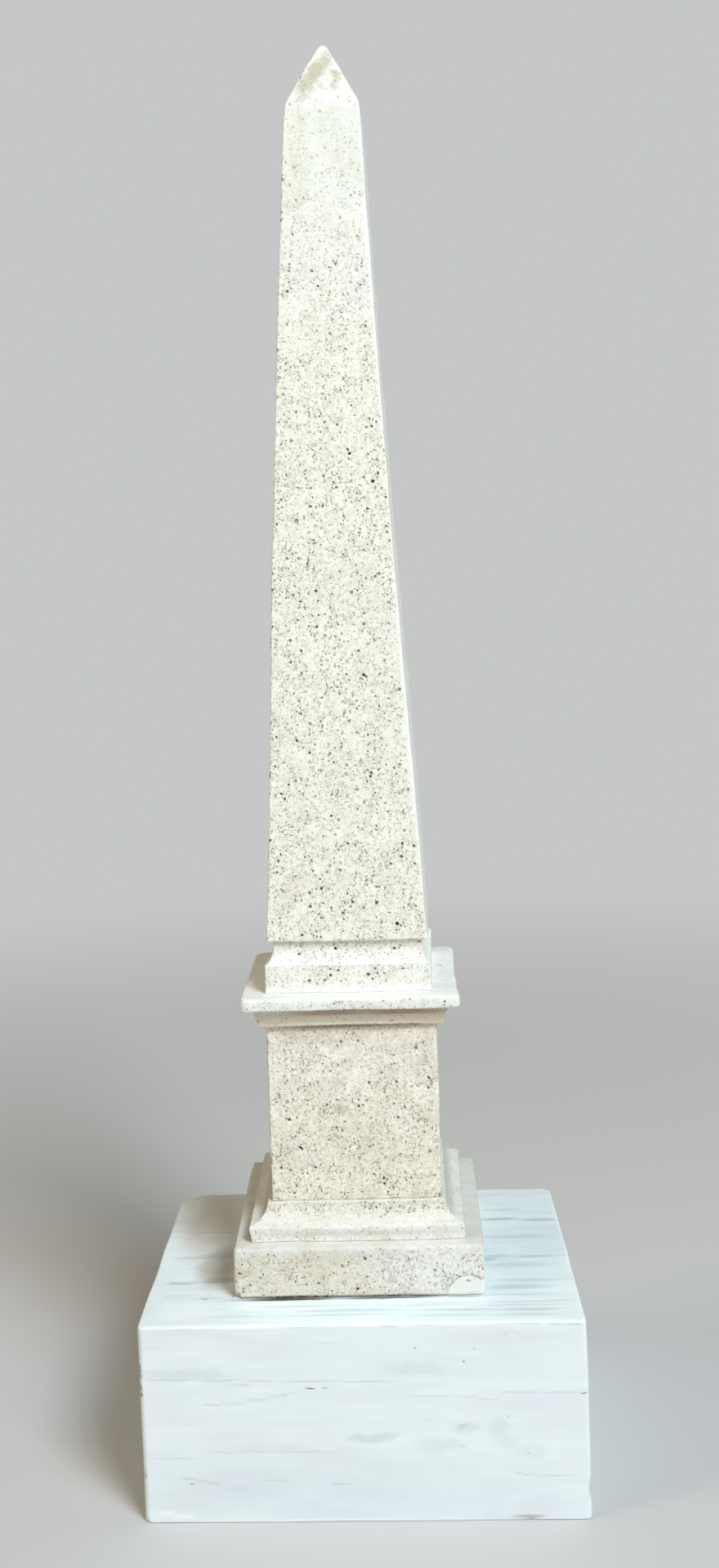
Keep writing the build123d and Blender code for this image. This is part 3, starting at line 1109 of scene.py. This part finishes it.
# Towards the foot the front leans out by 2 to 3.2 mm, the left end by 0.3 mm and the right by 1 mm.
block_grid[..., 0] += to_front * down * np.where(sideways > 0, 1.0, 0.3) * sideways
block_grid[..., 1] -= to_front * down * (2.6 + 0.6 * sideways)
rings = growth(block_grid)
block_grid = unevenness(block_grid, grain=45.0, depth=0.12, seed=81)
on_top = np.clip(block_grid[..., 2] - (block_height - 1.0), 0, 1)
block_grid[..., 2] += ring_relief * on_top * np.sin(rings * 2 * pi / ring_width)
for *middle, radius in knocks:
    block_grid = bite(block_grid, middle, radius)
block_grid[..., 2] = np.maximum(block_grid[..., 2], 0)
block = skin("timber_block_wood", block_grid)
ring_values = np.append(rings[1:-1].ravel(), [rings[0].mean(), rings[-1].mean()])
growth_mark = block.data.attributes.new("growth", "FLOAT", "POINT")
growth_mark.data.foreach_set("value", ring_values.astype(np.float32))
print(f"{np.ptp(ring_values) / ring_width:.0f} rings in the block")

# %% [markdown]
# ## Whitewash
#
# The paint is thin and water white, brushed along the grain. To the eye it is a cool white with
# slow bluish and lilac drifts. The dark summer wood of each ring shows through as a grey-green
# line, patchy because the paint is not equally thick. On the top a few lines are strong. The front
# has cracks in the paint, and bare grey-brown wood shows where the arris is chipped.

# %% Lines and cracks of the block
# Each row is half width, strength, and then the points one after another.
top_drifts = [(34, 0.2, 70, -30, 72, 55), (14, 0.4, 56, -2, 66, -22)]
top_lines = [
    (1.3, 0.18, -66, 49, -85, 49.6), (1.7, 0.25, -62, 24.6, -93, 25.8), (5, 0.4, -61, -2, -78, -3.2),
    (2.6, 0.4, -70, -4.4, -90, -3.4), (4.2, 0.5, -60, -29, -72, -30.6), (2, 0.85, -67, -31.4, -73, -31.8),
    (2, 0.5, -76, -32.2, -90, -32.8), (1.6, 0.6, -86, -31.6, -89.5, -31.8), (4, 0.25, -60, -18, -74, -19),
    (1.7, 0.14, 58, 68.5, 86, 66), (2.3, 0.29, 57, 49, 78, 47.2), (2.5, 0.61, 56, 37.2, 76, 34.9, 95, 33.4),
    (2.9, 0.29, 56, 15, 92, 13.4), (2.6, 0.36, 55, -8, 70, -9.5, 88, -9.3), (3.8, 0.5, 53, -12, 60, -11),
    (3.5, 0.25, 58, -19.6, 88, -18), (2.3, 0.29, 60, -34, 93.4, -35.6), (3.2, 0.36, 54.5, -42.5, 84, -41.5),
    (1.7, 0.32, 53, -49, 90, -50.6), (1.6, 0.29, 16, -57.6, 54, -56.5, 89, -57.8),
    (1.3, 0.32, -54, -57.4, 6, -58.6, 50, -59.6, 90, -60.6), (2, 0.4, -30, -63, 17, -63.4),
    (1.9, 0.43, 20.5, -63.4, 60, -64.4, 88, -64.6), (1.6, 0.29, -84, -66.4, -40, -66.9, 16, -68),
    (1.7, 0.29, 21, -68, 56, -69.4, 86, -69.4), (2.3, 0.16, -90, -45, -50, -52),
    (3.2, 0.18, -88, -58.5, -60, -60),
]
top_specks = [(0.8, 0.7, -72.5, -49.2, -70, -49.6), (0.5, 0.3, -71.2, 40, -71, 40)]
front_lines = [
    (0.6, 0.4, -94.5, 65.6, -72.4, 65.2, -52, 64.6, -36.9, 63.9, -10, 63.9, 16.2, 63.1),
    (0.9, 0.28, -58, 62.4, -48, 62.8), (0.7, 0.36, 19.6, 56.7, 40.7, 56.4),
    (0.8, 0.24, 40.7, 56.4, 58.3, 54.2), (0.7, 0.32, 58.3, 58, 76, 57.4, 95.6, 57.4),
    (0.7, 0.4, -69.3, 54, -62, 53.7), (1.3, 0.2, -62, 53.7, -40.7, 56.5, -33.6, 57.9),
    (1, 0.4, -35.5, 57.5, -33, 58.3), (0.7, 0.2, -33, 58.3, -22.8, 60.7),
    (0.7, 0.3, -69.6, 32.5, -56, 32.3, -40, 32.6, -9.6, 31.7), (0.6, 0.24, -93.7, 29.9, -70.4, 29.5),
    (1, 0.32, -80, 20.6, -74, 20, -63.7, 17.3), (0.8, 0.32, -46, 18.8, -34, 19.6),
    (1, 0.32, -16, 17.4, -6, 17.2), (0.7, 0.32, 64.7, 21.9, 71.8, 20.3, 93, 20),
    (0.7, 0.44, 40.6, 43.6, 44, 43, 41, 42), (0.7, 0.32, 41.6, 34, 43.6, 33.9),
    (0.6, 0.2, 25, 46.2, 29, 45.8), (0.6, 0.16, -20, 81, -12, 80.8),
]
front_drifts = [
    (3, 0.6, -7, 37.6, 12, 38.4), (3.4, 0.3, -95, 69, -60, 67), (5, 0.3, 60, 46, 57, 38),
    (5, 0.26, 57.5, 37, 66, 33, 77, 30), (3.6, 0.35, 40, 43, 47, 41.5), (26, 0.25, -80, 12, 80, 10),
    (6, 0.3, 24, 33, 40, 36), (3, 0.35, -62, 17, -48, 15), (9, 0.3, 60, 8, 90, 8),
    (12, 0.25, 40, 10, 70, 14), (8, 0.2, -90, 8, -60, 10), (10, 0.25, -20, 10, 20, 8),
    (5, 0.3, 10, 68, 34, 69),
]
front_specks = [
    (0.55, 0.7, 23, 77.8, 23.3, 77.8), (0.45, 0.5, 48.4, 77.2, 48.6, 77.2),
    (0.6, 0.8, 43.6, 71.5, 43.8, 71.4), (0.5, 0.5, 62.3, 47.1, 62.5, 47.1),
    (0.5, 0.5, 70.4, 30.5, 70.6, 30.5), (0.55, 0.9, -24.4, 60.7, -21, 60.7),
    (0.45, 0.6, -18, 60.8, -15.5, 60.9), (0.6, 0.6, -76.2, 17.8, -75.4, 18.1),
    (0.6, 0.7, 94, 57.2, 96.5, 56.6), (0.22, 0.3, -88, 87.6, -60, 87.8), (0.28, 0.6, 8, 87.9, 16, 87.9),
    (0.25, 0.45, 22, 88, 33, 88.1), (0.28, 0.6, 56, 88.1, 80, 88.1, 95.5, 87.4),
    (0.25, 0.3, -34, 88, -22, 88),
]
bare_patches = [
    (1.1, 0.75, -97.2, 72, -97, 68.5), (0.9, 0.6, -96.6, 67.6, -97.2, 66), (1, 0.9, -97, 62.6, -96.8, 60.4),
    (0.9, 0.8, -96.4, 59, -97, 57.6), (1.1, 0.45, -96.4, 22.4, -96.2, 20.9), (1.3, 0.4, 97.1, 18, 97.2, 10),
    (1.3, 0.6, 63, 2.2, 78, 1.8),
]
# Pale flakes on the front, and painted highlights along its rounded edges.
front_flakes_and_highlights = [
    (1.6, 1, -95.6, 65, -95.4, 62.8), (1.5, 0.8, -91, 5, -84, 4, -76, 2.2), (0.9, 0.6, -50, 59.8, -40, 60),
    (0.8, 1, 97, 86, 98.3, 20), (0.9, 0.7, -90, 1.2, 60, 1), (0.8, 0.6, -80, 64.3, -70, 63.6),
    (1, 0.5, 64, 83, 66, 83),
]
# Pale flakes, painted highlights along the top's arrises, and at the front left a broad patch of painted
# light.
top_flakes_and_highlights = [
    (1.1, 0.9, 18.3, -63, 18.6, -58.4), (0.9, 0.5, 17, -66.4, 18.4, -71),
    (1.8, 0.9, -88, -75, -20, -75.2, 40, -75.2, 92, -75), (1.5, 0.9, -97, -74, -97.5, -30),
    (1.4, 0.8, -97.4, -36, -98, 20), (1.6, 0.95, 96.7, -74, 96.2, -30), (1.5, 0.95, 96.3, -36, 95.6, 10),
    (1.4, 0.9, 95.6, 5, 94.9, 66), (14, 0.9, -84, -60, -72, -62), (0.9, 0.6, 14, -57, 20, -57),
]
top_shade = [(13, 0.9, -69, -31, -71, 3), (20, 0.6, -74, 6, -82, 62)]
# Painted contact shadow on the block's top, along the plinth's foot.
plinth_contact_shadow = [
    (2, 1, -56, -50.9, -10, -50.9), (1.7, 0.9, -16, -50.9, 38, -50.9), (1.7, 0.5, 36, -50.8, 54, -50.6),
    (0.9, 0.4, -58.1, -50, -58.6, 0), (0.6, 0.5, 54.8, -48, 54.6, 0),
]
print(f"{len(top_lines)} lines on the top, {len(front_lines)} cracks on the front")

# %% Whitewash
drift_kinds = (
    # the lengths of the drifts along x, y and z, colour, strength
    ((55, 22, 16), "#e1e6eb", 0.5), ((40, 12, 9), "#edf6f6", 0.6), ((26, 6, 4), "#dbe7e6", 0.2),
)


def whitewash_material():
    """Thin white paint on softwood: the rings show through as grey-green lines.

    Along one ring width a line swells slowly and falls away fast, as summer wood does."""
    material, tree = new_material("whitewashed_softwood")
    grid, shaken = object_grid(tree, wobble=1.2, grain=7.0)
    smudged = object_grid(tree, wobble=6.0, grain=9.0)[1]
    rings = add(tree, "Attribute", attribute_name="growth").outputs["Fac"]
    phase = add(tree, "Math", {0: rings, 1: 1 / ring_width}, operation="MULTIPLY")
    saw = add(tree, "Math", {0: phase}, operation="FRACT")
    swell = {"Value": saw, "From Min": 0.2, "From Max": 0.7}
    swell = add(tree, "MapRange", swell, interpolation_type="SMOOTHSTEP")
    fall = {"Value": saw, "From Min": 1.0, "From Max": 0.65}
    fall = add(tree, "MapRange", fall, interpolation_type="SMOOTHSTEP")
    line = add(tree, "Math", {0: swell, 1: fall}, operation="MULTIPLY")
    stretched = add(tree, "Mapping", {"Vector": grid, "Scale": (1 / 60, 1 / 9, 1 / 9)})
    patch = patches(tree, stretched, 1.0, 0.42, 0.75, 0.3, Detail=3.0)
    show = add(tree, "Math", {0: line, 1: patch}, operation="MULTIPLY")

    normal = add(tree, "NewGeometry").outputs["Normal"]
    upward = add(tree, "SeparateXYZ", {"Vector": normal}).outputs["Z"]
    upward = add(tree, "MapRange", {"Value": upward, "From Min": 0.2, "From Max": 0.8})
    # Painted light from above: the paint on the top is whiter than on the front.
    paint = coat(tree, linear("#e7f0f1"), upward, "#f0fbfb")
    for lengths, tone, most in drift_kinds:
        stretch = {"Vector": grid, "Scale": [1 / s for s in lengths], "Location": (lengths[0],) * 3}
        stretched = add(tree, "Mapping", stretch)
        paint = coat(tree, paint, patches(tree, stretched, 1.0, 0.45, 0.68, most), tone)
    above = add(tree, "MapRange", {"Value": upward, "To Min": 0.35, "To Max": 0.85})
    show = add(tree, "Math", {0: show, 1: above}, operation="MULTIPLY")
    paint = coat(tree, paint, show, "#b4c4c3")

    levels = {"front": -block_half[1], "top": block_height}
    # Each row is the face, how deep the marks reach in, the place, the strokes and their colour.
    for face, reach, place, rows, tone in (
        ("top", 3.5, shaken, top_drifts, "#c9dfe1"),
        ("top", 9.0, smudged, top_shade, "#cbc4b5"),
        ("front", 9.0, smudged, front_drifts, "#c8d2d9"),
        ("top", 3.5, shaken, top_lines, "#a2b3b2"),
        ("front", 9.0, shaken, front_lines, "#b5bfbf"),
        ("top", 3.5, shaken, top_specks, "#7d8280"),
        ("front", 9.0, shaken, front_specks, "#757876"),
        ("front", 9.0, shaken, front_flakes_and_highlights, "#f4f8f8"),
        ("top", 3.5, shaken, top_flakes_and_highlights, "#f7fdfd"),
        ("front", 9.0, shaken, bare_patches, "#918a7e"),
        ("top", 3.5, shaken, plinth_contact_shadow, "#5f5a4b"),
    ):
        shown = strokes(tree, place, face, levels[face], reach, stepped(rows))
        paint = coat(tree, paint, shown, tone)

    brush = add(tree, "Mapping", {"Vector": grid, "Scale": (1 / 30, 1 / 0.9, 1 / 0.9)})
    brush = add(tree, "TexNoise", {"Vector": brush, "Scale": 1.0, "Detail": 3.0})
    surface(tree, paint, brush, strength=0.25, depth=0.05, roughness=0.5)
    return material


hand_over(block, "timber_block", whitewash_material())
